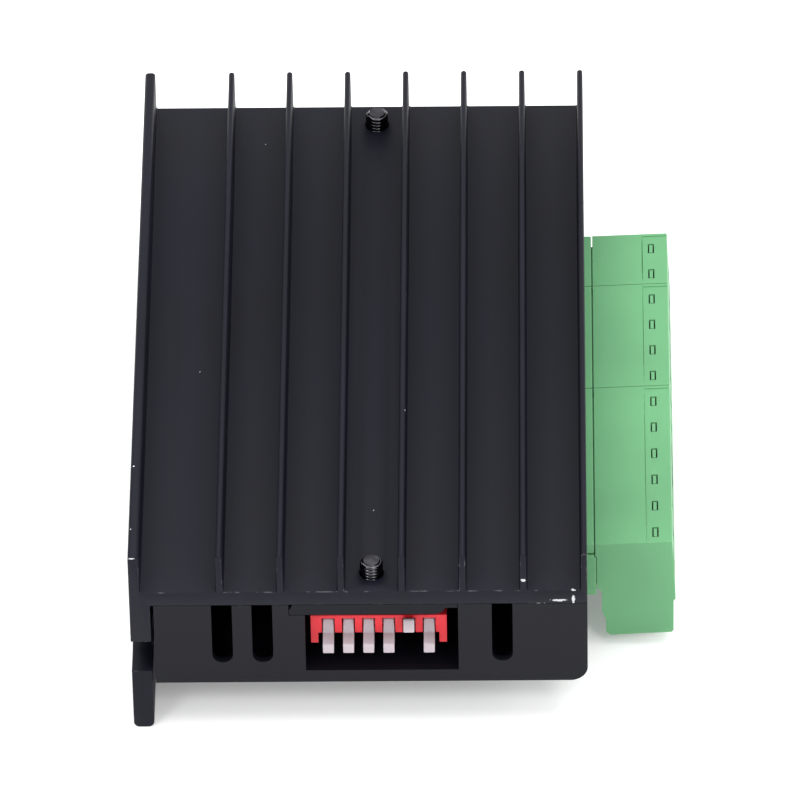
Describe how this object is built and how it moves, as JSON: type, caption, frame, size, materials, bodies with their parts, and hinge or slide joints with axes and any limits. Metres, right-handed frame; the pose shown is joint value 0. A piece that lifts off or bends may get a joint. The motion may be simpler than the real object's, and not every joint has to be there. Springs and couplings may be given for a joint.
{
  "type": "stepper driver module",
  "caption": "Flat stepper motor driver with a finned black heat sink, a slotted mounting plate, a piano switch at one end and green pluggable screw terminals along one side.",
  "frame": {"origin": "centre of the mounting plate's outer face", "axes": "+X from the mounting face to the terminals, +Y along the module away from the switch end, +Z towards the fin tips"},
  "size_m": [0.0688, 0.0964, 0.0286],
  "materials": {
    "black_anodised": "satin black anodised",
    "black_steel": "black painted",
    "black_screws": "black oxide",
    "black_cover": "fine matt moulded",
    "label_sheet": "satin film",
    "board_laminate": "solder mask",
    "chip_resin": "moulded",
    "thermal_silicone": "soft matt",
    "ferrite": "matt",
    "capacitor_can": "brushed",
    "opto_resin": "moulded",
    "resistor_ceramic": "glazed",
    "lamp_lens": "clear tinted",
    "red_plastic": "moulded",
    "black_base": "moulded",
    "tinned_copper": "bright tin plate",
    "white_plastic": "moulded",
    "green_plastic": "satin moulded",
    "plated_screws": "zinc plated",
    "plated_cages": "nickel plated"
  },
  "bodies": {
    "module": {"heat_sink": "black_anodised", "end_brackets": "black_steel", "bracket_screws": "black_screws", "cover": "black_cover", "front_label": "label_sheet", "circuit_board": "board_laminate", "driver_chip": "chip_resin", "thermal_pad": "thermal_silicone", "control_chip": "chip_resin", "regulator_chip": "chip_resin", "regulator_inductor": "ferrite", "bulk_capacitors": "capacitor_can", "optocouplers": "opto_resin", "sense_resistors": "resistor_ceramic", "status_lamps": "lamp_lens", "dip_body": "red_plastic", "dip_base": "black_base", "dip_contacts": "tinned_copper", "header_6way": "green_plastic", "header_pins_6way": "tinned_copper", "header_4way": "green_plastic", "header_pins_4way": "tinned_copper", "header_2way": "green_plastic", "header_pins_2way": "tinned_copper"},
    "lever_1": {"dip_lever_1": "white_plastic"},
    "lever_2": {"dip_lever_2": "white_plastic"},
    "lever_3": {"dip_lever_3": "white_plastic"},
    "lever_4": {"dip_lever_4": "white_plastic"},
    "lever_5": {"dip_lever_5": "white_plastic"},
    "lever_6": {"dip_lever_6": "white_plastic"},
    "plug_6way_body": {"plug_6way": "green_plastic", "plug_contacts_6way": "tinned_copper"},
    "plug_4way_body": {"plug_4way": "green_plastic", "plug_contacts_4way": "tinned_copper"},
    "plug_2way_body": {"plug_2way": "green_plastic", "plug_contacts_2way": "tinned_copper"},
    "screw_1": {"clamp_screw_1": "plated_screws"},
    "cage_1": {"clamp_cage_1": "plated_cages"},
    "screw_2": {"clamp_screw_2": "plated_screws"},
    "cage_2": {"clamp_cage_2": "plated_cages"},
    "screw_3": {"clamp_screw_3": "plated_screws"},
    "cage_3": {"clamp_cage_3": "plated_cages"},
    "screw_4": {"clamp_screw_4": "plated_screws"},
    "cage_4": {"clamp_cage_4": "plated_cages"},
    "screw_5": {"clamp_screw_5": "plated_screws"},
    "cage_5": {"clamp_cage_5": "plated_cages"},
    "screw_6": {"clamp_screw_6": "plated_screws"},
    "cage_6": {"clamp_cage_6": "plated_cages"},
    "screw_7": {"clamp_screw_7": "plated_screws"},
    "cage_7": {"clamp_cage_7": "plated_cages"},
    "screw_8": {"clamp_screw_8": "plated_screws"},
    "cage_8": {"clamp_cage_8": "plated_cages"},
    "screw_9": {"clamp_screw_9": "plated_screws"},
    "cage_9": {"clamp_cage_9": "plated_cages"},
    "screw_10": {"clamp_screw_10": "plated_screws"},
    "cage_10": {"clamp_cage_10": "plated_cages"},
    "screw_11": {"clamp_screw_11": "plated_screws"},
    "cage_11": {"clamp_cage_11": "plated_cages"},
    "screw_12": {"clamp_screw_12": "plated_screws"},
    "cage_12": {"clamp_cage_12": "plated_cages"}
  },
  "joints": [
    {"name": "lever_1_flip", "type": "hinge", "parent": "module", "child": "lever_1", "pos_m": [0.02487, -0.04416, 0.00015], "axis": [-1, 0, 0], "range_deg": [0, 50]},
    {"name": "lever_2_flip", "type": "hinge", "parent": "module", "child": "lever_2", "pos_m": [0.02741, -0.04416, 0.00015], "axis": [-1, 0, 0], "range_deg": [0, 50]},
    {"name": "lever_3_flip", "type": "hinge", "parent": "module", "child": "lever_3", "pos_m": [0.02995, -0.04416, 0.00015], "axis": [-1, 0, 0], "range_deg": [0, 50]},
    {"name": "lever_4_flip", "type": "hinge", "parent": "module", "child": "lever_4", "pos_m": [0.03249, -0.04416, 0.00015], "axis": [-1, 0, 0], "range_deg": [0, 50]},
    {"name": "lever_5_flip", "type": "hinge", "parent": "module", "child": "lever_5", "pos_m": [0.03503, -0.04416, 0.00015], "axis": [-1, 0, 0], "range_deg": [-50, 0]},
    {"name": "lever_6_flip", "type": "hinge", "parent": "module", "child": "lever_6", "pos_m": [0.03757, -0.04416, 0.00015], "axis": [-1, 0, 0], "range_deg": [0, 50]},
    {"name": "plug_6way_slide", "type": "slide", "parent": "module", "child": "plug_6way_body", "axis": [1, 0, 0], "range_m": [0, 0.012]},
    {"name": "plug_4way_slide", "type": "slide", "parent": "module", "child": "plug_4way_body", "axis": [1, 0, 0], "range_m": [0, 0.012]},
    {"name": "plug_2way_slide", "type": "slide", "parent": "module", "child": "plug_2way_body", "axis": [1, 0, 0], "range_m": [0, 0.012]},
    {"name": "screw_1_turn", "type": "hinge", "parent": "plug_6way_body", "child": "screw_1", "pos_m": [0.0649, -0.03061, -0.008], "axis": [0, 0, 1], "range_deg": [0, 1441]},
    {"name": "cage_1_rise", "type": "slide", "parent": "plug_6way_body", "child": "cage_1", "axis": [0, 0, -1], "range_m": [0, 0.002]},
    {"name": "screw_2_turn", "type": "hinge", "parent": "plug_6way_body", "child": "screw_2", "pos_m": [0.0649, -0.02553, -0.008], "axis": [0, 0, 1], "range_deg": [0, 1441]},
    {"name": "cage_2_rise", "type": "slide", "parent": "plug_6way_body", "child": "cage_2", "axis": [0, 0, -1], "range_m": [0, 0.002]},
    {"name": "screw_3_turn", "type": "hinge", "parent": "plug_6way_body", "child": "screw_3", "pos_m": [0.0649, -0.02045, -0.008], "axis": [0, 0, 1], "range_deg": [0, 1441]},
    {"name": "cage_3_rise", "type": "slide", "parent": "plug_6way_body", "child": "cage_3", "axis": [0, 0, -1], "range_m": [0, 0.002]},
    {"name": "screw_4_turn", "type": "hinge", "parent": "plug_6way_body", "child": "screw_4", "pos_m": [0.0649, -0.01537, -0.008], "axis": [0, 0, 1], "range_deg": [0, 1441]},
    {"name": "cage_4_rise", "type": "slide", "parent": "plug_6way_body", "child": "cage_4", "axis": [0, 0, -1], "range_m": [0, 0.002]},
    {"name": "screw_5_turn", "type": "hinge", "parent": "plug_6way_body", "child": "screw_5", "pos_m": [0.0649, -0.01029, -0.008], "axis": [0, 0, 1], "range_deg": [0, 1441]},
    {"name": "cage_5_rise", "type": "slide", "parent": "plug_6way_body", "child": "cage_5", "axis": [0, 0, -1], "range_m": [0, 0.002]},
    {"name": "screw_6_turn", "type": "hinge", "parent": "plug_6way_body", "child": "screw_6", "pos_m": [0.0649, -0.00521, -0.008], "axis": [0, 0, 1], "range_deg": [0, 1441]},
    {"name": "cage_6_rise", "type": "slide", "parent": "plug_6way_body", "child": "cage_6", "axis": [0, 0, -1], "range_m": [0, 0.002]},
    {"name": "screw_7_turn", "type": "hinge", "parent": "plug_4way_body", "child": "screw_7", "pos_m": [0.0649, -0.00013, -0.008], "axis": [0, 0, 1], "range_deg": [0, 1441]},
    {"name": "cage_7_rise", "type": "slide", "parent": "plug_4way_body", "child": "cage_7", "axis": [0, 0, -1], "range_m": [0, 0.002]},
    {"name": "screw_8_turn", "type": "hinge", "parent": "plug_4way_body", "child": "screw_8", "pos_m": [0.0649, 0.00495, -0.008], "axis": [0, 0, 1], "range_deg": [0, 1441]},
    {"name": "cage_8_rise", "type": "slide", "parent": "plug_4way_body", "child": "cage_8", "axis": [0, 0, -1], "range_m": [0, 0.002]},
    {"name": "screw_9_turn", "type": "hinge", "parent": "plug_4way_body", "child": "screw_9", "pos_m": [0.0649, 0.01003, -0.008], "axis": [0, 0, 1], "range_deg": [0, 1441]},
    {"name": "cage_9_rise", "type": "slide", "parent": "plug_4way_body", "child": "cage_9", "axis": [0, 0, -1], "range_m": [0, 0.002]},
    {"name": "screw_10_turn", "type": "hinge", "parent": "plug_4way_body", "child": "screw_10", "pos_m": [0.0649, 0.01511, -0.008], "axis": [0, 0, 1], "range_deg": [0, 1441]},
    {"name": "cage_10_rise", "type": "slide", "parent": "plug_4way_body", "child": "cage_10", "axis": [0, 0, -1], "range_m": [0, 0.002]},
    {"name": "screw_11_turn", "type": "hinge", "parent": "plug_2way_body", "child": "screw_11", "pos_m": [0.0649, 0.02019, -0.008], "axis": [0, 0, 1], "range_deg": [0, 1441]},
    {"name": "cage_11_rise", "type": "slide", "parent": "plug_2way_body", "child": "cage_11", "axis": [0, 0, -1], "range_m": [0, 0.002]},
    {"name": "screw_12_turn", "type": "hinge", "parent": "plug_2way_body", "child": "screw_12", "pos_m": [0.0649, 0.02527, -0.008], "axis": [0, 0, 1], "range_deg": [0, 1441]},
    {"name": "cage_12_rise", "type": "slide", "parent": "plug_2way_body", "child": "cage_12", "axis": [0, 0, -1], "range_m": [0, 0.002]}
  ],
  "couplings": [
    {"joint": "screw_1_turn", "follows": "cage_1_rise", "rad_per_m": 12566},
    {"joint": "screw_2_turn", "follows": "cage_2_rise", "rad_per_m": 12566},
    {"joint": "screw_3_turn", "follows": "cage_3_rise", "rad_per_m": 12566},
    {"joint": "screw_4_turn", "follows": "cage_4_rise", "rad_per_m": 12566},
    {"joint": "screw_5_turn", "follows": "cage_5_rise", "rad_per_m": 12566},
    {"joint": "screw_6_turn", "follows": "cage_6_rise", "rad_per_m": 12566},
    {"joint": "screw_7_turn", "follows": "cage_7_rise", "rad_per_m": 12566},
    {"joint": "screw_8_turn", "follows": "cage_8_rise", "rad_per_m": 12566},
    {"joint": "screw_9_turn", "follows": "cage_9_rise", "rad_per_m": 12566},
    {"joint": "screw_10_turn", "follows": "cage_10_rise", "rad_per_m": 12566},
    {"joint": "screw_11_turn", "follows": "cage_11_rise", "rad_per_m": 12566},
    {"joint": "screw_12_turn", "follows": "cage_12_rise", "rad_per_m": 12566}
  ]
}
